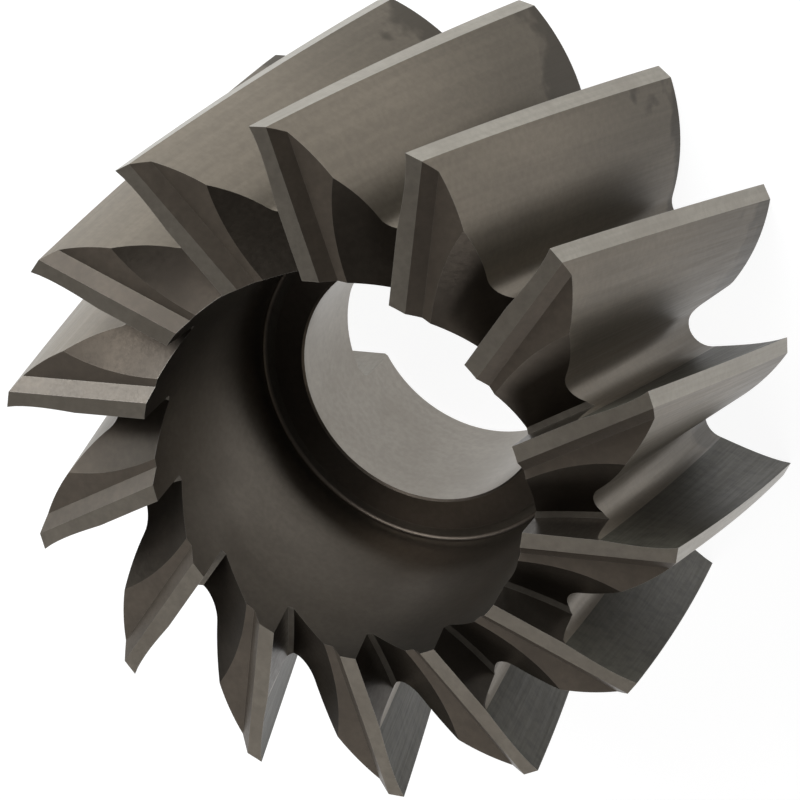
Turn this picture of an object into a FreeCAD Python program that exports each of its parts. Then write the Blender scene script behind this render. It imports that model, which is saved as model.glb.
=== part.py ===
# Shell end mill, 101.6 mm across and 57.15 mm wide, made from one piece of high speed steel.
# It stands on its driving face at z = 0 with its end teeth up, on the Z axis, slot along X.
import FreeCAD, Part
import math
import os

Vec = FreeCAD.Vector

# Blank
CUTTER_DIAMETER = 101.6
CUTTER_WIDTH = 57.15
TOOTH_COUNT = 14

# Peripheral teeth, all measured square to the axis
HELIX_ANGLE = 15.0
HELIX_BANDS = 4
RADIAL_RAKE = 6.8
LAND_WIDTH = 2.4
LAND_RELIEF = 7.0
FLUTE_DEPTH = 14.6
GULLET_RADIUS = 3.2
BACK_RADIUS = 32.0
BACK_PIECES = 3
GULLET_PIECES = 2

# End teeth
END_LAND_WIDTH = 2.4
END_LAND_RELIEF = 3.0
END_STEP_DEPTH = 1.8
END_STEP_SLOPE = 45.0
END_STEP_REACH = 10.8
GASH_DEPTH = 8.65
GASH_LOW_POINT = 7.9
GASH_CUTTER_RADIUS = 45.0
GASH_FLANK_SLOPE = 33.0
GASH_NOSE_WIDTH = 0.9
GASH_CUTTER_SHARE = 0.64
GASH_FACE_RAKE = 4.0

# Bore and front recess
BORE_DIAMETER = 38.1
BORE_LENGTH = 25.4
BORE_FRONT_CHAMFER = 0.3
BORE_BACK_CHAMFER = 1.1
SEAT_DIAMETER = 47.6
RECESS_FLOOR_DROP = 0.5
RECESS_FLOOR_MARGIN = 2.0
RECESS_TAPER = 5.2
RECESS_CORNER_BEVEL = 0.7

# Driving slot across the back face
SLOT_WIDTH = 15.9
SLOT_DEPTH = 9.9
SLOT_CORNER_RADIUS = 1.6
SLOT_EDGE_CHAMFER = 0.4
SLOT_TO_EDGE_ANGLE = 2.3

TIP_RADIUS = CUTTER_DIAMETER / 2
PITCH_ANGLE = 2 * math.pi / TOOTH_COUNT
TWIST = math.tan(math.radians(HELIX_ANGLE)) * CUTTER_WIDTH / TIP_RADIUS
RAKE = math.radians(RADIAL_RAKE)
BACK_TIP_ANGLE = math.radians(SLOT_TO_EDGE_ANGLE)
FRONT_TIP_ANGLE = BACK_TIP_ANGLE + TWIST
OVERCUT = 2.0


# A tooth's own plane has its cutting corner at (0, TIP_RADIUS).
# Its x axis points behind the edge, clockwise seen from the end teeth, and y points outward.
def on_tooth(x, y, tip_angle, z=0.0):
    """Point of a tooth's own plane, placed with that tooth's corner at tip_angle."""
    across = math.sin(tip_angle)
    out = math.cos(tip_angle)
    return Vec(y * out + x * across, y * across - x * out, z)


def next_tooth(point):
    """A point of one tooth, carried to the same place on the tooth that follows it."""
    c = math.cos(PITCH_ANGLE)
    s = math.sin(PITCH_ANGLE)
    return Vec(point.x * c + point.y * s, point.y * c - point.x * s, 0)


def unit(vector):
    return vector * (1.0 / vector.Length)


def gullet():
    """Centre of the gullet and the point where the straight rake face runs into it."""
    tip = Vec(0, TIP_RADIUS, 0)
    inward = Vec(math.sin(RAKE), -math.cos(RAKE), 0)
    into_gap = Vec(-math.cos(RAKE), -math.sin(RAKE), 0)
    start = tip + into_gap * GULLET_RADIUS
    reach = TIP_RADIUS - FLUTE_DEPTH + GULLET_RADIUS
    along = start.dot(inward)
    run = -along - math.sqrt(along ** 2 - start.dot(start) + reach ** 2)
    return start + inward * run, tip + inward * run


def back_centre(heel, gullet_centre):
    """Centre of the round tooth back that leaves the land and runs smoothly into the gullet."""
    near = BACK_RADIUS
    far = BACK_RADIUS + GULLET_RADIUS
    span = gullet_centre - heel
    foot = (near ** 2 - far ** 2 + span.Length ** 2) / (2 * span.Length)
    rise = math.sqrt(near ** 2 - foot ** 2)
    inward = unit(Vec(span.y, -span.x, 0))
    return heel + unit(span) * foot + inward * rise


def arc_pieces(start, end, centre, toward, count):
    """Arc from start to end in equal pieces, its middle on the given side of the centre."""
    first = start - centre
    last = end - centre
    middle = unit(first + last)
    if middle.dot(toward) < 0:
        middle = middle * -1.0
    half_sweep = middle.getAngle(first)
    turn = math.copysign(1.0, first.cross(middle).z)
    pieces = []
    for index in range(count):
        corners = []
        for share in (index, index + 0.5, index + 1):
            angle = turn * half_sweep * (2 * share / count - 1)
            spoke = FreeCAD.Rotation(Vec(0, 0, 1), math.degrees(angle)).multVec(middle)
            corners.append(centre + spoke * first.Length)
        pieces.append(Part.Arc(*corners).toShape())
    return pieces


def tooth_outline():
    """Edges of one pitch: land, round back, gullet and the next tooth's rake face."""
    centre_ahead, rake_foot_ahead = gullet()
    gullet_centre = next_tooth(centre_ahead)
    rake_foot = next_tooth(rake_foot_ahead)
    tip = Vec(0, TIP_RADIUS, 0)
    heel = Vec(LAND_WIDTH, TIP_RADIUS - LAND_WIDTH * math.tan(math.radians(LAND_RELIEF)), 0)
    centre = back_centre(heel, gullet_centre)
    back_foot = gullet_centre + unit(centre - gullet_centre) * GULLET_RADIUS
    back = arc_pieces(heel, back_foot, centre, heel - centre, BACK_PIECES)
    hollow = arc_pieces(back_foot, rake_foot, gullet_centre, gullet_centre * -1.0, GULLET_PIECES)
    return [Part.makeLine(tip, heel)] + back + hollow + [Part.makeLine(rake_foot, next_tooth(tip))]


def cross_section(height):
    """Closed outline of all the teeth at a height, turned there along the helix."""
    edges = []
    corner = math.degrees(BACK_TIP_ANGLE + TWIST * height / CUTTER_WIDTH)
    for index in range(TOOTH_COUNT):
        for edge in tooth_outline():
            placed = edge.toNurbs().Edges[0]
            placed.rotate(Vec(0, 0, 0), Vec(0, 0, 1), corner - 90.0 - index * 360.0 / TOOTH_COUNT)
            placed.translate(Vec(0, 0, height))
            edges.append(placed)
    return Part.Wire(Part.__sortEdges__(edges))


def toothed_blank():
    """The outline carried up the axis along a right-hand helix, one loft from band to band."""
    heights = [CUTTER_WIDTH * band / HELIX_BANDS for band in range(HELIX_BANDS + 1)]
    return Part.makeLoft([cross_section(height) for height in heights], True, True)


def turned_inside():
    """Bore with its screw seat and the tapered front recess, as one turned space."""
    bore = BORE_DIAMETER / 2
    seat = SEAT_DIAMETER / 2
    floor = seat + RECESS_FLOOR_MARGIN
    floor_z = BORE_LENGTH - RECESS_FLOOR_DROP
    top_z = CUTTER_WIDTH + OVERCUT
    flare = math.tan(math.radians(RECESS_TAPER))
    back = BORE_BACK_CHAMFER + OVERCUT
    points = [
        (0, -OVERCUT),
        (bore + back, -OVERCUT),
        (bore, BORE_BACK_CHAMFER),
        (bore, BORE_LENGTH - BORE_FRONT_CHAMFER),
        (bore + BORE_FRONT_CHAMFER, BORE_LENGTH),
        (seat, BORE_LENGTH),
        (seat, floor_z),
        (floor - RECESS_CORNER_BEVEL, floor_z),
        (floor + RECESS_CORNER_BEVEL * flare, floor_z + RECESS_CORNER_BEVEL),
        (floor + (top_z - floor_z) * flare, top_z),
        (0, top_z),
    ]
    corners = [Vec(r, 0, z) for r, z in points]
    face = Part.Face(Part.makePolygon(corners + corners[:1]))
    return face.revolve(Vec(0, 0, 0), Vec(0, 0, 1), 360)


def drive_slot():
    """Driving slot across the whole back face, with rounded floor corners and broken edges."""
    half = SLOT_WIDTH / 2
    length = CUTTER_DIAMETER + 2 * OVERCUT
    box = Part.makeBox(length, SLOT_WIDTH, SLOT_DEPTH + OVERCUT, Vec(-length / 2, -half, -OVERCUT))
    corners = []
    for edge in box.Edges:
        middle = edge.BoundBox.Center
        if edge.BoundBox.XLength > length / 2 and middle.z > 0:
            corners.append(edge)
    slot = box.makeFillet(SLOT_CORNER_RADIUS, corners)
    wide = half + SLOT_EDGE_CHAMFER
    lip = [Vec(0, -wide - OVERCUT, -OVERCUT), Vec(0, wide + OVERCUT, -OVERCUT),
           Vec(0, half, SLOT_EDGE_CHAMFER), Vec(0, -half, SLOT_EDGE_CHAMFER)]
    bevel = Part.Face(Part.makePolygon(lip + lip[:1])).extrude(Vec(length, 0, 0))
    bevel.translate(Vec(-length / 2, 0, 0))
    return slot.fuse(bevel)


def end_edge_frame(tip_angle):
    """Placement with X behind the end cutting edge, Y outward along it and Z up."""
    outward = on_tooth(-math.sin(RAKE), math.cos(RAKE), tip_angle)
    behind = on_tooth(math.cos(RAKE), math.sin(RAKE), tip_angle)
    corner = on_tooth(0, TIP_RADIUS, tip_angle, CUTTER_WIDTH)
    return FreeCAD.Placement(corner, FreeCAD.Rotation(behind, outward, Vec(0, 0, 1), "XYZ"))


def end_relief(tip_angle):
    """Space above the end land, the steep step behind it and the flat shelf."""
    land_drop = END_LAND_WIDTH * math.tan(math.radians(END_LAND_RELIEF))
    shelf = -land_drop - END_STEP_DEPTH
    step_end = END_LAND_WIDTH + END_STEP_DEPTH / math.tan(math.radians(END_STEP_SLOPE))
    points = [
        (0, 0),
        (END_LAND_WIDTH, -land_drop),
        (step_end, shelf),
        (END_STEP_REACH, shelf),
        (END_STEP_REACH, OVERCUT),
        (0, OVERCUT),
    ]
    length = TIP_RADIUS - BORE_DIAMETER / 2 + 2 * OVERCUT
    corners = [Vec(x, -length + OVERCUT, z) for x, z in points]
    space = Part.Face(Part.makePolygon(corners + corners[:1])).extrude(Vec(0, length, 0))
    space.Placement = end_edge_frame(tip_angle)
    return space


def gash_cutter():
    """Round single-angle cutter, flat on its left side, with its axis along X."""
    slope = math.tan(math.radians(GASH_FLANK_SLOPE + GASH_FACE_RAKE))
    width = TIP_RADIUS * math.sin(PITCH_ANGLE) * GASH_CUTTER_SHARE
    corners = [
        Vec(0, 0, 0),
        Vec(0, 0, GASH_CUTTER_RADIUS),
        Vec(-GASH_NOSE_WIDTH, 0, GASH_CUTTER_RADIUS),
        Vec(-width, 0, GASH_CUTTER_RADIUS - (width - GASH_NOSE_WIDTH) * slope),
        Vec(-width, 0, 0),
    ]
    return Part.Face(Part.makePolygon(corners + corners[:1])).revolve(Vec(0, 0, 0), Vec(1, 0, 0), 360)


def gash(tip_angle):
    """Deep V gash ahead of an end tooth, the path of the round cutter."""
    space = gash_cutter()
    space.translate(Vec(0, -GASH_LOW_POINT, GASH_CUTTER_RADIUS - GASH_DEPTH))
    space.rotate(Vec(0, 0, 0), Vec(0, 1, 0), -GASH_FACE_RAKE)
    space.Placement = end_edge_frame(tip_angle).multiply(space.Placement)
    return space


def shell_end_mill():
    """The whole cutter in one piece."""
    body = toothed_blank().cut(turned_inside()).cut(drive_slot())
    for index in range(TOOTH_COUNT):
        tip_angle = FRONT_TIP_ANGLE - index * PITCH_ANGLE
        body = body.cut(end_relief(tip_angle))
        body = body.cut(gash(tip_angle))
    return body


cutter_body = shell_end_mill().Solids[0]
os.makedirs("parts", exist_ok=True)
cutter_body.exportStep("parts/cutter_body.step")
print("volume cm3", round(cutter_body.Volume / 1000, 1), "valid", cutter_body.isValid())
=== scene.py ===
import math

import bmesh
import bpy
from mathutils import Euler, Matrix, Vector


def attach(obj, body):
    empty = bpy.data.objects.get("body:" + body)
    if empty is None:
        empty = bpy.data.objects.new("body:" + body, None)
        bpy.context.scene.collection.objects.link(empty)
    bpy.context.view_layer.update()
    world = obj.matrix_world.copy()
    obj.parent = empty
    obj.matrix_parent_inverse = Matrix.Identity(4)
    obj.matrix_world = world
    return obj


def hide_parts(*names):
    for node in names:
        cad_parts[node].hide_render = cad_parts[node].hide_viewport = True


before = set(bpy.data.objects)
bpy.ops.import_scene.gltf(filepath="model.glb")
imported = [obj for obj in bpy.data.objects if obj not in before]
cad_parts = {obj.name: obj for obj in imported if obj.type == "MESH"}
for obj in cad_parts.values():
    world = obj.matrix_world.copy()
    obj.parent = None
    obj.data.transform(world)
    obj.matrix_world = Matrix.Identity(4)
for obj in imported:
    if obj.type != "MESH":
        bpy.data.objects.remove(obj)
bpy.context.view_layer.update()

NODE = "cutter_body"
MM = 0.001

# Blank and peripheral teeth, in millimetres and degrees, as all of the cutter's sizes are
CUTTER_DIAMETER = 101.6
CUTTER_WIDTH = 57.15
TOOTH_COUNT = 14
HELIX_ANGLE = 15.0
RADIAL_RAKE = 6.8
LAND_WIDTH = 2.4
LAND_RELIEF = 7.0
FLUTE_DEPTH = 14.6
GULLET_RADIUS = 3.2
BACK_RADIUS = 32.0
FACE_HOLLOW = 0.36
FACE_HOLLOW_SKEW = 0.75

# End teeth
END_LAND_WIDTH = 2.4
END_LAND_RELIEF = 3.0
END_STEP_DEPTH = 1.8
END_STEP_SLOPE = 45.0
END_STEP_REACH = 10.8
GASH_DEPTH = 9.0
GASH_LOW_POINT = 7.9
GASH_CUTTER_RADIUS = 45.0
GASH_CUTTER_WIDTH = 14.1
GASH_FLANK_SLOPE = 33.0
GASH_NOSE_WIDTH = 0.9
GASH_FACE_RAKE = 8.0

# Bore, seat and front recess
BORE_DIAMETER = 38.1
BORE_LENGTH = 25.4
BORE_FRONT_CHAMFER = 0.3
BORE_BACK_CHAMFER = 1.1
SEAT_DIAMETER = 47.6
RECESS_FLOOR_DROP = 0.5
RECESS_FLOOR_MARGIN = 2.0
RECESS_TAPER = 5.2
RECESS_CORNER_RADIUS = 0.7

# Driving slot
SLOT_WIDTH = 15.9
SLOT_DEPTH = 9.9
SLOT_CORNER_RADIUS = 1.6
SLOT_EDGE_CHAMFER = 0.4
SLOT_TO_EDGE_ANGLE = 2.3

# How far the cutting tools reach past the blank
OVERCUT = 2.0

# Worked out from the sizes above, with angles in radians
TIP_RADIUS = CUTTER_DIAMETER / 2
PITCH = 2 * math.pi / TOOTH_COUNT
TWIST_PER_MM = math.tan(math.radians(HELIX_ANGLE)) / TIP_RADIUS
BACK_TIP_ANGLE = math.radians(SLOT_TO_EDGE_ANGLE)
FRONT_TIP_ANGLE = BACK_TIP_ANGLE + TWIST_PER_MM * CUTTER_WIDTH

# Fineness of the mesh. The rows on the recess wall are shares of its height.
LEVELS = 44
BACK_STEPS = 18
GULLET_STEPS = 14
FACE_STEPS = 8
ROUND_STEPS = 192
GASH_STEPS = 224
CORNER_STEPS = 5
RECESS_WALL_ROWS = (0.15, 0.4, 0.7, 1.0)
SHARP_ANGLE = 22.0

# Finishes, in the order of the mesh's material slots
FINISHES = ["flute", "face", "land", "end_land", "step", "gash", "gash_nose_painted_highlight", "recess", "seat",
            "bore", "back"]

# How tool marks are drawn out: along the helix, a little along it, round the axis, or not at all
ALONG = (1.0, 1.0, 0.02)
SLIGHTLY_ALONG = (1.0, 1.0, 0.3)
AROUND = (0.05, 0.05, 1.0)
PLAIN = (1.0, 1.0, 1.0)

# Tool marks: their height in millimetres, the scale of the broad streaks against the fine lines,
# and how far the roughness moves with the lines at a relief of 1
TOOL_MARK_HEIGHT = 0.01
STREAK_SCALE = 0.22
ROUGHNESS_SPREAD = 0.2

# Fine unevenness of the steel's tone: its size in millimetres and its share
MOTTLE_SIZE = 0.9
MOTTLE = 0.065

# Worn edges: their width in millimetres, their strength, and their tone on a screen
WEAR_WIDTH = 0.15
WEAR = 0.8
WORN_EDGE = (170, 165, 156)

# Ragged dark patches at the flutes' rear ends: millimetres above the back face, and their darkness
REAR_PATCH_HEIGHT = 5.8
REAR_PATCH_RAGGEDNESS = 34.0
REAR_PATCH_FADE_OUT = 3.0
REAR_PATCH_FADE_IN = 4.0
REAR_PATCH_DARKNESS = 0.9

# Painted shade that darkens the flutes towards the back: the heights where it starts and is full
PAINTED_SHADE_START = 38.0
PAINTED_SHADE_FULL = 8.0
PAINTED_SHADE_DARKNESS = 0.45

# Where most of a noise texture's values lie
NOISE_LOW = 0.3
NOISE_HIGH = 0.7

# Camera: place in metres, turn in degrees, lens and sensor in millimetres
CAMERA_PLACE = (0.197402, 0.195863, 0.427579)
CAMERA_TURN = (-26.4874, 23.9997, -6.0801)
LENS = 151.697
SENSOR = 36.0
CLIP_START = 0.01

# Floor: its reach in metres and the colour that lights the cutter. To the camera it is a glow of
# nearly white over a dim colour that takes the shadow.
FLOOR_REACH = 3.0
FLOOR_COLOUR = (0.8, 0.8, 0.8, 1.0)
SHADOW_COLOUR = (0.2, 0.2, 0.2, 1.0)
FLOOR_GLOW = 0.93

# Room and lamps, with sizes in metres
WHITE = (1.0, 1.0, 1.0)
DAYLIGHT = (0.85, 0.93, 1.0)
ROOM_LIGHT = 0.08
LAMP_DISTANCE = 0.8
LAMP_HEIGHT = 0.4

# Azimuth and elevation in degrees, width in metres, power in watts, and colour
SOFT_BOXES = {
    "low_key_box": (120, 20, 0.9, 8.6, DAYLIGHT),
    "high_key_box": (112, 45, 0.6, 3.0, WHITE),
    "left_box": (230, 36, 0.5, 1.0, WHITE),
    "front_box": (290, 22, 0.6, 1.7, WHITE),
    "right_box": (40, 20, 0.5, 0.3, WHITE),
}


# Shape of the cutter
def zone(finish):
    """Number of a finish's material slot."""
    return FINISHES.index(finish)


def turned(point, angle):
    """A flat point turned about the axis."""
    c = math.cos(angle)
    s = math.sin(angle)
    return Vector((point.x * c - point.y * s, point.x * s + point.y * c))


def arc_points(start, end, centre, toward, steps):
    """Points after start along the arc to end that bulges the given way."""
    first = start - centre
    middle = (first + (end - centre)).normalized()
    if middle.dot(toward) < 0:
        middle = -middle
    half = math.acos(max(-1.0, min(1.0, middle.dot(first.normalized()))))
    side = math.copysign(1.0, first.x * middle.y - first.y * middle.x)
    angles = [side * half * (2 * index / steps - 1) for index in range(1, steps + 1)]
    return [centre + turned(middle, angle) * first.length for angle in angles]


def gullet_ahead():
    """Centre of the gullet ahead of a tooth, and the foot of its straight rake face."""
    rake = math.radians(RADIAL_RAKE)
    tip = Vector((0, TIP_RADIUS))
    inward = Vector((math.sin(rake), -math.cos(rake)))
    start = tip + Vector((-math.cos(rake), -math.sin(rake))) * GULLET_RADIUS
    reach = TIP_RADIUS - FLUTE_DEPTH + GULLET_RADIUS
    along = start.dot(inward)
    run = -along - math.sqrt(along ** 2 - start.length_squared + reach ** 2)
    return start + inward * run, tip + inward * run


def back_centre(heel, gullet):
    """Centre of the round tooth back from the land's heel into the gullet."""
    span = gullet - heel
    far = BACK_RADIUS + GULLET_RADIUS
    foot = (BACK_RADIUS ** 2 - far ** 2 + span.length_squared) / (2 * span.length)
    rise = math.sqrt(BACK_RADIUS ** 2 - foot ** 2)
    along = span.normalized()
    return heel + along * foot + Vector((along.y, -along.x)) * rise


def hollow_face(foot, tip):
    """Points between foot and tip of a rake face, which grinding has left slightly hollow.

    A skew below 1 puts the deepest place nearer the tip.
    """
    outward = (tip - foot).normalized()
    behind = Vector((outward.y, -outward.x))
    points = []
    for step in range(1, FACE_STEPS):
        share = step / FACE_STEPS
        depth = FACE_HOLLOW * math.sin(math.pi * (1 - share) ** FACE_HOLLOW_SKEW)
        points.append(foot.lerp(tip, share) + behind * depth)
    return points


def tooth_outline():
    """Points of one pitch from its cutting corner on, each with the zone that starts there."""
    centre_ahead, foot_ahead = gullet_ahead()
    gullet = turned(centre_ahead, -PITCH)
    rake_foot = turned(foot_ahead, -PITCH)
    tip = Vector((0, TIP_RADIUS))
    heel = tip + Vector((LAND_WIDTH, -LAND_WIDTH * math.tan(math.radians(LAND_RELIEF))))
    centre = back_centre(heel, gullet)
    back_foot = gullet + (centre - gullet).normalized() * GULLET_RADIUS
    back = arc_points(heel, back_foot, centre, heel - centre, BACK_STEPS)
    gullet_arc = arc_points(back_foot, rake_foot, gullet, -gullet, GULLET_STEPS)
    face = hollow_face(rake_foot, turned(tip, -PITCH))
    points = [(tip, "land"), (tip.lerp(heel, 0.5), "land"), (heel, "flute")]
    points += [(point, "flute") for point in back + gullet_arc[:-1]]
    points += [(point, "face") for point in gullet_arc[-1:] + face]
    return points


def new_piece(name, mesh):
    """Puts a bmesh into the scene as an object that has every finish slot."""
    bmesh.ops.recalc_face_normals(mesh, faces=mesh.faces)
    data = bpy.data.meshes.new(name)
    mesh.to_mesh(data)
    mesh.free()
    for finish in FINISHES:
        data.materials.append(MATERIALS[finish])
    piece = bpy.data.objects.new(name, data)
    bpy.context.scene.collection.objects.link(piece)
    return piece


def toothed_blank():
    """The outline carried up the axis along the right-hand helix."""
    outline = []
    for index in range(TOOTH_COUNT):
        turn = BACK_TIP_ANGLE - math.pi / 2 - index * PITCH
        outline += [(turned(point, turn), zone(finish)) for point, finish in tooth_outline()]
    mesh = bmesh.new()
    rings = []
    for level in range(LEVELS + 1):
        z = CUTTER_WIDTH * level / LEVELS
        flat = [turned(point, TWIST_PER_MM * z) for point, _ in outline]
        rings.append([mesh.verts.new(Vector((p.x, p.y, z)) * MM) for p in flat])
    count = len(outline)
    for low, high in zip(rings, rings[1:]):
        for index in range(count):
            after = (index + 1) % count
            face = mesh.faces.new((low[index], low[after], high[after], high[index]))
            face.material_index = outline[index][1]
    mesh.faces.new(rings[0]).material_index = zone("back")
    mesh.faces.new(rings[-1]).material_index = zone("end_land")
    return new_piece("milled_cutter", mesh)


def revolved(name, profile, steps):
    """A solid of revolution about Z. Its profile runs from axis to axis, with a zone per line.

    On the axis a ring is a single point, so the faces that meet it are triangles.
    """
    mesh = bmesh.new()
    rings = []
    for radius, z, _ in profile:
        if radius == 0:
            rings.append([mesh.verts.new(Vector((0, 0, z)) * MM)])
            continue
        angles = [2 * math.pi * index / steps for index in range(steps)]
        spokes = [Vector((radius * math.cos(a), radius * math.sin(a), z)) for a in angles]
        rings.append([mesh.verts.new(spoke * MM) for spoke in spokes])
    for (low, high), (_, _, finish) in zip(zip(rings, rings[1:]), profile):
        for index in range(steps):
            after = (index + 1) % steps
            corners = [low[index % len(low)], low[after % len(low)]]
            corners += [high[after % len(high)], high[index % len(high)]]
            corners = list(dict.fromkeys(corners))
            mesh.faces.new(corners).material_index = zone(finish)
    return new_piece(name, mesh)


def inside_tool():
    """Bore, screw seat and tapered front recess as one turned space."""
    bore = BORE_DIAMETER / 2
    seat = SEAT_DIAMETER / 2
    floor = seat + RECESS_FLOOR_MARGIN
    floor_z = BORE_LENGTH - RECESS_FLOOR_DROP
    flare = math.tan(math.radians(RECESS_TAPER))
    top_z = CUTTER_WIDTH + OVERCUT
    corner = RECESS_CORNER_RADIUS
    profile = [
        (0, -OVERCUT, "bore"),
        (bore + BORE_BACK_CHAMFER + OVERCUT, -OVERCUT, "bore"),
        (bore, BORE_BACK_CHAMFER, "bore"),
        (bore, BORE_LENGTH - BORE_FRONT_CHAMFER, "seat"),
        (bore + BORE_FRONT_CHAMFER, BORE_LENGTH, "seat"),
        (seat, BORE_LENGTH, "recess"),
        (seat, floor_z, "recess"),
    ]
    for index in range(CORNER_STEPS + 1):
        angle = math.radians(90 - RECESS_TAPER) * index / CORNER_STEPS
        out = floor - corner * (1 - math.sin(angle))
        finish = "seat" if index < CORNER_STEPS else "recess"
        profile.append((out, floor_z + corner * (1 - math.cos(angle)), finish))
    for share in RECESS_WALL_ROWS:
        z = floor_z + corner + (top_z - floor_z - corner) * share
        profile.append((floor + (z - floor_z) * flare, z, "recess"))
    profile.append((0, top_z, "recess"))
    return revolved("inside_tool", profile, ROUND_STEPS)


def prism(name, section, length, zones):
    """A straight bar of the given X-Z section, from Y = 0 to Y = length."""
    mesh = bmesh.new()
    near = [mesh.verts.new(Vector((x, 0, z)) * MM) for x, z in section]
    far = [mesh.verts.new(Vector((x, length, z)) * MM) for x, z in section]
    count = len(section)
    for index in range(count):
        after = (index + 1) % count
        face = mesh.faces.new((near[index], near[after], far[after], far[index]))
        face.material_index = zone(zones[index])
    mesh.faces.new(near).material_index = zone(zones[0])
    mesh.faces.new(far).material_index = zone(zones[0])
    return new_piece(name, mesh)


def slot_tool():
    """Driving slot with rounded floor corners and broken edges, along X."""
    half = SLOT_WIDTH / 2
    corner = SLOT_CORNER_RADIUS
    wide = half + SLOT_EDGE_CHAMFER + OVERCUT
    side = [(wide, -OVERCUT), (half, SLOT_EDGE_CHAMFER)]
    for index in range(CORNER_STEPS + 1):
        angle = math.radians(90) * index / CORNER_STEPS
        out = half - corner * (1 - math.cos(angle))
        side.append((out, SLOT_DEPTH - corner * (1 - math.sin(angle))))
    section = side + [(-x, z) for x, z in reversed(side)]
    length = CUTTER_DIAMETER + 2 * OVERCUT
    tool = prism("slot_tool", section, length, ["land"] * len(section))
    turn = Matrix.Rotation(math.radians(90), 4, "Z")
    tool.data.transform(turn @ Matrix.Translation((0, -length / 2 * MM, 0)))
    return tool


def end_edge_place(tip_angle):
    """X behind the end cutting edge, Y outward along it, Z up, from the tooth's front corner."""
    rake = math.radians(RADIAL_RAKE)
    turn = tip_angle - math.pi / 2
    corner = turned(Vector((0, TIP_RADIUS)), turn)
    place = Matrix.Translation(Vector((corner.x, corner.y, CUTTER_WIDTH)) * MM)
    return place @ Matrix.Rotation(turn + rake, 4, "Z")


def relief_tool(tip_angle):
    """Space above the end land, the steep step behind it and the flat shelf."""
    drop = END_LAND_WIDTH * math.tan(math.radians(END_LAND_RELIEF))
    shelf = -drop - END_STEP_DEPTH
    step_end = END_LAND_WIDTH + END_STEP_DEPTH / math.tan(math.radians(END_STEP_SLOPE))
    section = [(0, 0), (END_LAND_WIDTH, -drop), (step_end, shelf)]
    section += [(END_STEP_REACH, shelf), (END_STEP_REACH, OVERCUT), (0, OVERCUT)]
    zones = ["end_land", "step", "step", "step", "step", "step"]
    length = TIP_RADIUS - BORE_DIAMETER / 2 + 2 * OVERCUT
    tool = prism("relief_tool", section, length, zones)
    tool.data.transform(Matrix.Translation((0, (OVERCUT - length) * MM, 0)))
    tool.data.transform(end_edge_place(tip_angle))
    return tool


def gash_tool(tip_angle):
    """The round single-angle cutter that leaves the V gash ahead of an end tooth."""
    slope = math.tan(math.radians(GASH_FLANK_SLOPE + GASH_FACE_RAKE))
    width = GASH_CUTTER_WIDTH
    far_radius = GASH_CUTTER_RADIUS - (width - GASH_NOSE_WIDTH) * slope
    profile = [
        (0, 0, "gash"),
        # The rim leaves the flat nose of the gash, which is painted lighter as a highlight
        (GASH_CUTTER_RADIUS, 0, "gash_nose_painted_highlight"),
        (GASH_CUTTER_RADIUS, -GASH_NOSE_WIDTH, "gash"),
        (far_radius, -width, "gash"),
        (0, -width, "gash"),
    ]
    tool = revolved("gash_tool", profile, GASH_STEPS)
    data = tool.data
    data.transform(Matrix.Rotation(math.radians(90), 4, "Y"))
    lift = GASH_CUTTER_RADIUS - GASH_DEPTH
    data.transform(Matrix.Translation(Vector((0, -GASH_LOW_POINT, lift)) * MM))
    data.transform(Matrix.Rotation(math.radians(-GASH_FACE_RAKE), 4, "Y"))
    data.transform(end_edge_place(tip_angle))
    return tool


def cut(body, tools):
    """Takes the tools out of the body and removes them."""
    for tool in tools:
        modifier = body.modifiers.new("cut", "BOOLEAN")
        modifier.operation = "DIFFERENCE"
        modifier.solver = "MANIFOLD"
        modifier.object = tool
    bpy.context.view_layer.update()
    graph = bpy.context.evaluated_depsgraph_get()
    result = bpy.data.meshes.new_from_object(body.evaluated_get(graph))
    body.modifiers.clear()
    body.data = result
    for tool in tools:
        bpy.data.objects.remove(tool)


def milled_cutter():
    """The whole cutter, smooth where it is curved and sharp at its edges."""
    body = toothed_blank()
    tools = [inside_tool(), slot_tool()]
    for index in range(TOOTH_COUNT):
        tip_angle = FRONT_TIP_ANGLE - index * PITCH
        tools += [relief_tool(tip_angle), gash_tool(tip_angle)]
    cut(body, tools)
    data = body.data
    data.polygons.foreach_set("use_smooth", [True] * len(data.polygons))
    data.set_sharp_from_angle(angle=math.radians(SHARP_ANGLE))
    return body


# Shader building
FLOAT = "NodeSocketFloat"
VECTOR = "NodeSocketVector"


def add(tree, kind, settings=None, **values):
    """Adds a node. Each value is a constant for a socket, or another node's output."""
    node = tree.nodes.new(kind)
    for name, value in (settings or {}).items():
        setattr(node, name, value)
    for name, value in values.items():
        socket = socket_of(node, name)
        if isinstance(value, bpy.types.NodeSocket):
            tree.links.new(value, socket)
        else:
            socket.default_value = value
    return node


def socket_of(node, name):
    """Input by its name in plain words, or by number as in_0."""
    if name.startswith("in_"):
        return node.inputs[int(name[3:])]
    return node.inputs[name.replace("_", " ")]


def math_node(tree, operation, first, second=0.0, third=0.0, clamp=False):
    """Result of an operation on one to three values."""
    settings = {"operation": operation, "use_clamp": clamp}
    node = add(tree, "ShaderNodeMath", settings, in_0=first, in_1=second, in_2=third)
    return node.outputs[0]


def blend_colour(tree, share, first, second):
    """First colour going over to the second, by sockets' numbers because their names repeat."""
    node = add(tree, "ShaderNodeMix", {"data_type": "RGBA"}, in_0=share, in_6=first, in_7=second)
    return node.outputs[2]


def ramp(tree, value, low, high, to_low=0.0, to_high=1.0):
    """Smooth step from low to high."""
    settings = {"interpolation_type": "SMOOTHSTEP"}
    node = add(tree, "ShaderNodeMapRange", settings, Value=value, From_Min=low, From_Max=high,
               To_Min=to_low, To_Max=to_high)
    return node.outputs[0]


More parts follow.
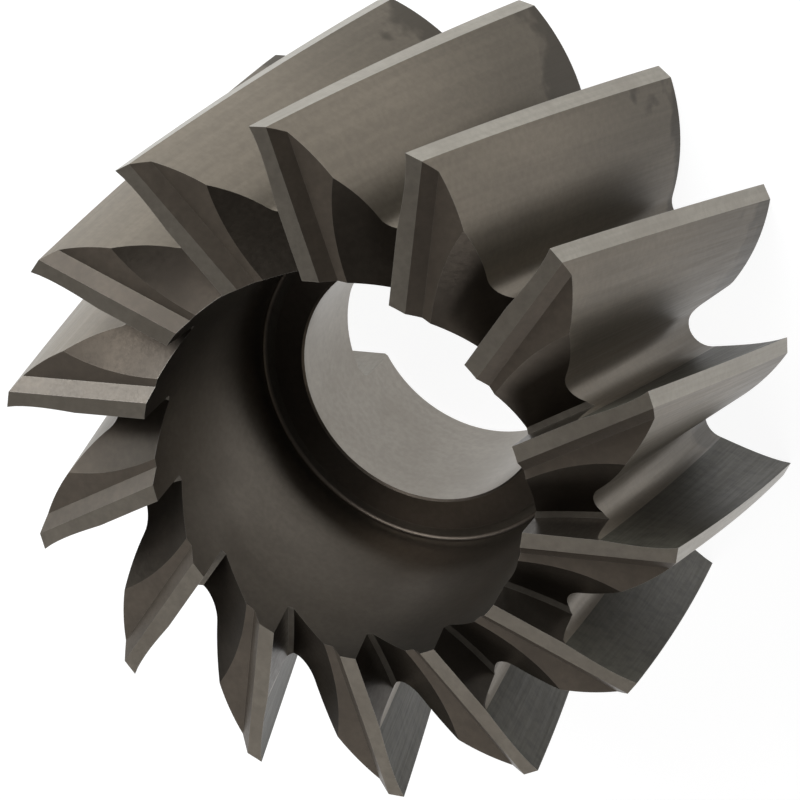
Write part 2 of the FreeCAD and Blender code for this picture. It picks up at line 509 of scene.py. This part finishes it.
def new_group(name, inputs, outputs):
    """An effect with named inputs and outputs. Returns its tree and its two end nodes."""
    tree = bpy.data.node_groups.new(name, "ShaderNodeTree")
    for title, kind, default in inputs:
        socket = tree.interface.new_socket(title, in_out="INPUT", socket_type=kind)
        if default is not None:
            socket.default_value = default
    for title, kind in outputs:
        tree.interface.new_socket(title, in_out="OUTPUT", socket_type=kind)
    return tree, tree.nodes.new("NodeGroupInput"), tree.nodes.new("NodeGroupOutput")


def use_group(tree, group, **values):
    """Places an effect in a material with its own values."""
    return add(tree, "ShaderNodeGroup", {"node_tree": group}, **values)


# Effects that the finishes share
def helix_coordinates_group():
    """Place on the cutter in millimetres, with the helix of the teeth wound straight."""
    outputs = [("Straight", VECTOR), ("Plain", VECTOR), ("Height", FLOAT)]
    tree, _, end = new_group("helix_coordinates", [], outputs)
    place = add(tree, "ShaderNodeTexCoord").outputs["Object"]
    scaled = add(tree, "ShaderNodeVectorMath", {"operation": "SCALE"}, in_0=place, Scale=1 / MM)
    plain = scaled.outputs[0]
    height = add(tree, "ShaderNodeSeparateXYZ", in_0=plain).outputs["Z"]
    turn = math_node(tree, "MULTIPLY", height, -TWIST_PER_MM)
    straight = add(tree, "ShaderNodeVectorRotate", {"rotation_type": "Z_AXIS"},
                   Vector=plain, Angle=turn)
    tree.links.new(straight.outputs[0], end.inputs["Straight"])
    tree.links.new(plain, end.inputs["Plain"])
    tree.links.new(height, end.inputs["Height"])
    return tree


def grain_group():
    """Grinding or turning lines: noise drawn out by the stretch that is put in."""
    inputs = [("Place", VECTOR, None), ("Stretch", VECTOR, PLAIN), ("Fineness", FLOAT, 4.0)]
    tree, start, end = new_group("tool_mark_grain", inputs, [("Lines", FLOAT), ("Streaks", FLOAT)])
    drawn = add(tree, "ShaderNodeVectorMath", {"operation": "MULTIPLY"},
                in_0=start.outputs["Place"], in_1=start.outputs["Stretch"]).outputs[0]
    lines = add(tree, "ShaderNodeTexNoise", Vector=drawn, Scale=start.outputs["Fineness"],
                Detail=4.0, Roughness=0.65)
    broad = math_node(tree, "MULTIPLY", start.outputs["Fineness"], STREAK_SCALE)
    streaks = add(tree, "ShaderNodeTexNoise", Vector=drawn, Scale=broad, Detail=3.0)
    tree.links.new(lines.outputs[0], end.inputs["Lines"])
    tree.links.new(streaks.outputs[0], end.inputs["Streaks"])
    return tree


def stain_group():
    """Soft cloudy patches where oil and heat have marked the steel."""
    inputs = [("Place", VECTOR, None), ("Size", FLOAT, 10.0), ("Low", FLOAT, 0.4),
              ("High", FLOAT, 0.7)]
    tree, start, end = new_group("oil_stain", inputs, [("Mask", FLOAT), ("Cloud", FLOAT)])
    scale = math_node(tree, "DIVIDE", 1.0, start.outputs["Size"])
    cloud = add(tree, "ShaderNodeTexNoise", Vector=start.outputs["Place"], Scale=scale,
                Detail=4.0, Roughness=0.55)
    mask = ramp(tree, cloud.outputs[0], start.outputs["Low"], start.outputs["High"])
    tree.links.new(mask, end.inputs["Mask"])
    tree.links.new(cloud.outputs[0], end.inputs["Cloud"])
    return tree


def edge_wear_group():
    """How near a sharp edge the surface is, from the rounding that wear would give it."""
    inputs = [("Radius", FLOAT, WEAR_WIDTH * MM), ("Strength", FLOAT, WEAR)]
    tree, start, end = new_group("edge_wear", inputs, [("Mask", FLOAT)])
    rounded = add(tree, "ShaderNodeBevel", {"samples": 4}, Radius=start.outputs["Radius"])
    flat = add(tree, "ShaderNodeNewGeometry").outputs["Normal"]
    together = add(tree, "ShaderNodeVectorMath", {"operation": "DOT_PRODUCT"},
                   in_0=rounded.outputs[0], in_1=flat).outputs["Value"]
    apart = math_node(tree, "SUBTRACT", 1.0, together)
    mask = math_node(tree, "MULTIPLY", apart, start.outputs["Strength"], clamp=True)
    tree.links.new(mask, end.inputs["Mask"])
    return tree


# Finishes of the steel
def rgb(red, green, blue):
    """A colour as it is seen on a screen, 0 to 255, in linear light."""
    def linear(value):
        share = value / 255
        return share / 12.92 if share <= 0.04045 else ((share + 0.055) / 1.055) ** 2.4
    return (linear(red), linear(green), linear(blue), 1.0)


def steel(name, base, dark, roughness, stretch, fineness, stain_size=12.0, metallic=0.6,
          streaks=0.06, relief=0.25, spots=0.5, gloss=0.5, shade=None):
    """One finish of the steel: base tone, stain tone, worn edges and its tool marks.

    Fineness is how fine the tool marks are, relief how strongly they stand out, and streaks how
    far they change the tone. Spots is how dark the stains are, and their size is in millimetres.
    Gloss is how much the surface shines apart from its metal. Shade is a function that gives a
    mask from the place on the cutter and the stain's cloud, and where it is 1 the steel is dark.
    """
    material = bpy.data.materials.new(name)
    material.use_nodes = True
    tree = material.node_tree
    shader = tree.nodes["Principled BSDF"]
    places = use_group(tree, GROUPS["places"])
    grain = use_group(tree, GROUPS["grain"], Place=places.outputs["Straight"], Stretch=stretch,
                      Fineness=fineness)
    stain = use_group(tree, GROUPS["stain"], Place=places.outputs["Plain"], Size=stain_size)
    wear = use_group(tree, GROUPS["wear"])
    mottle = use_group(tree, GROUPS["stain"], Place=places.outputs["Plain"], Size=MOTTLE_SIZE)
    mottled = ramp(tree, mottle.outputs["Cloud"], NOISE_LOW, NOISE_HIGH, 1 - MOTTLE, 1 + MOTTLE)
    streak = ramp(tree, grain.outputs["Streaks"], NOISE_LOW, NOISE_HIGH, 1 - streaks, 1 + streaks)
    uneven = math_node(tree, "MULTIPLY", streak, mottled)
    tone = add(tree, "ShaderNodeVectorMath", {"operation": "SCALE"}, in_0=rgb(*base)[:3],
               Scale=uneven)
    amount = math_node(tree, "MULTIPLY", stain.outputs["Mask"], spots)
    if shade:
        amount = math_node(tree, "MAXIMUM", amount, shade(tree, places, stain.outputs["Cloud"]))
    colour = blend_colour(tree, amount, tone.outputs[0], rgb(*dark))
    colour = blend_colour(tree, wear.outputs["Mask"], colour, rgb(*WORN_EDGE))
    tree.links.new(colour, shader.inputs["Base Color"])
    spread = ROUGHNESS_SPREAD * relief
    rough = ramp(tree, grain.outputs["Lines"], NOISE_LOW, NOISE_HIGH, roughness - spread,
                 roughness + spread)
    tree.links.new(rough, shader.inputs["Roughness"])
    bump = add(tree, "ShaderNodeBump", Strength=relief, Distance=TOOL_MARK_HEIGHT * MM,
               Height=grain.outputs["Lines"])
    tree.links.new(bump.outputs[0], shader.inputs["Normal"])
    shader.inputs["Metallic"].default_value = metallic
    shader.inputs["Specular IOR Level"].default_value = gloss
    return material


def rear_patches_and_painted_shade(tree, places, cloud):
    """Painted shade that darkens the flutes towards the back, and ragged dark patches at their
    ends.
    """
    height = places.outputs["Height"]
    lift = REAR_PATCH_HEIGHT - REAR_PATCH_RAGGEDNESS / 2
    ragged = math_node(tree, "MULTIPLY_ADD", cloud, REAR_PATCH_RAGGEDNESS, lift)
    inward = math_node(tree, "SUBTRACT", ragged, height)
    patches = ramp(tree, inward, -REAR_PATCH_FADE_OUT, REAR_PATCH_FADE_IN, 0.0, REAR_PATCH_DARKNESS)
    # Painted shade: the flutes darken from one height down towards the back face
    soft = ramp(tree, height, PAINTED_SHADE_START, PAINTED_SHADE_FULL, 0.0, PAINTED_SHADE_DARKNESS)
    return math_node(tree, "MAXIMUM", patches, soft)


def steel_finishes():
    """Every finish on the cutter, by name: base tone, stain tone, roughness and tool marks."""
    return {
        # The flutes take the painted shade towards the back and the ragged dark patches at their
        # ends
        "flute": steel("milled_flute", (116, 107, 94), (60, 54, 45), 0.4, ALONG, 3.0,
                       metallic=0.58, spots=0.1, shade=rear_patches_and_painted_shade),
        "face": steel("ground_face", (70, 67, 58), (44, 41, 34), 0.48, ALONG, 3.0,
                      stain_size=2.0, metallic=0.45, spots=0.6, gloss=0.25),
        "land": steel("ground_land", (146, 140, 129), (132, 125, 114), 0.34, ALONG, 6.0),
        "end_land": steel("ground_end_land", (108, 101, 91), (96, 88, 78), 0.38, PLAIN, 2.5),
        "step": steel("end_step", (82, 73, 63), (66, 58, 49), 0.4, PLAIN, 2.5, metallic=0.55),
        "gash": steel("milled_gash", (67, 60, 52), (46, 40, 34), 0.38, SLIGHTLY_ALONG, 2.0,
                      metallic=0.75),
        # Painted highlight: the flat nose at the bottom of each gash is lighter than its flanks
        "gash_nose_painted_highlight": steel("gash_nose_painted_highlight", (112, 106, 97), (84, 77, 68), 0.38, PLAIN, 3.0,
                            metallic=0.7),
        "recess": steel("turned_recess", (112, 106, 98), (88, 82, 75), 0.32, AROUND, 1.6,
                        stain_size=18.0, metallic=0.95, streaks=0.03, relief=0.06),
        "seat": steel("turned_seat", (98, 90, 82), (80, 73, 65), 0.4, AROUND, 2.0,
                      metallic=0.92, relief=0.1),
        "bore": steel("ground_bore", (162, 156, 147), (142, 135, 125), 0.32, AROUND, 3.0,
                      streaks=0.03, relief=0.06),
        "back": steel("ground_back", (130, 123, 113), (104, 96, 86), 0.38, PLAIN, 2.0),
    }


# Studio
def pale_floor():
    """Looks white to the camera and in the steel, and keeps the cutter's soft shadow."""
    material = bpy.data.materials.new("pale_floor")
    material.use_nodes = True
    tree = material.node_tree
    tree.nodes.clear()
    output = tree.nodes.new("ShaderNodeOutputMaterial")
    plain = add(tree, "ShaderNodeBsdfDiffuse", Color=FLOOR_COLOUR)
    dim = add(tree, "ShaderNodeBsdfDiffuse", Color=SHADOW_COLOUR)
    glow = add(tree, "ShaderNodeEmission", Color=(*WHITE, 1.0), Strength=FLOOR_GLOW)
    lit = add(tree, "ShaderNodeAddShader", in_0=dim.outputs[0], in_1=glow.outputs[0])
    rays = add(tree, "ShaderNodeLightPath")
    seen = math_node(tree, "MAXIMUM", rays.outputs["Is Camera Ray"], rays.outputs["Is Glossy Ray"])
    seen = math_node(tree, "MAXIMUM", seen, rays.outputs["Is Transmission Ray"])
    mix = add(tree, "ShaderNodeMixShader", in_0=seen, in_1=plain.outputs[0], in_2=lit.outputs[0])
    tree.links.new(mix.outputs[0], output.inputs["Surface"])
    return material


def studio_floor():
    """The wide sheet that the cutter lies on."""
    mesh = bmesh.new()
    bmesh.ops.create_grid(mesh, x_segments=1, y_segments=1, size=FLOOR_REACH)
    data = bpy.data.meshes.new("studio_floor")
    mesh.to_mesh(data)
    mesh.free()
    data.materials.append(pale_floor())
    floor = bpy.data.objects.new("studio_floor", data)
    bpy.context.scene.collection.objects.link(floor)


def studio_world():
    """Faint even light from the room."""
    world = bpy.data.worlds.new("studio_room")
    world.use_nodes = True
    background = world.node_tree.nodes["Background"]
    background.inputs["Color"].default_value = (*WHITE, 1.0)
    background.inputs["Strength"].default_value = ROOM_LIGHT
    bpy.context.scene.world = world


def soft_box(name, azimuth, elevation, width, power, colour):
    """A soft box that faces the cutter from the given direction."""
    lamp = bpy.data.lights.new(name, "AREA")
    lamp.color = colour
    lamp.shape = "RECTANGLE"
    lamp.size = width
    lamp.size_y = LAMP_HEIGHT
    lamp.energy = power
    box = bpy.data.objects.new(name, lamp)
    turn = Euler((0, math.radians(-elevation), math.radians(azimuth)), "XYZ")
    outward = turn.to_matrix() @ Vector((1, 0, 0))
    box.location = Vector((0, 0, CUTTER_WIDTH * MM / 2)) + outward * LAMP_DISTANCE
    box.rotation_euler = (-outward).to_track_quat("-Z", "Y").to_euler()
    bpy.context.scene.collection.objects.link(box)


def studio_camera():
    """The camera, fitted so that the cutter lies as it does in the photograph."""
    camera = bpy.data.cameras.new("camera")
    camera.lens = LENS
    camera.sensor_width = SENSOR
    camera.clip_start = CLIP_START
    eye = bpy.data.objects.new("camera", camera)
    eye.location = CAMERA_PLACE
    eye.rotation_euler = Euler([math.radians(angle) for angle in CAMERA_TURN], "XYZ")
    bpy.context.scene.collection.objects.link(eye)
    bpy.context.scene.camera = eye


GROUPS = {
    "places": helix_coordinates_group(),
    "grain": grain_group(),
    "stain": stain_group(),
    "wear": edge_wear_group(),
}
MATERIALS = steel_finishes()

cutter = milled_cutter()
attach(cutter, "root")
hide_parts(NODE)

studio_floor()
studio_world()
for box_name, setting in SOFT_BOXES.items():
    soft_box(box_name, *setting)
studio_camera()
bpy.context.scene.view_settings.view_transform = "Standard"
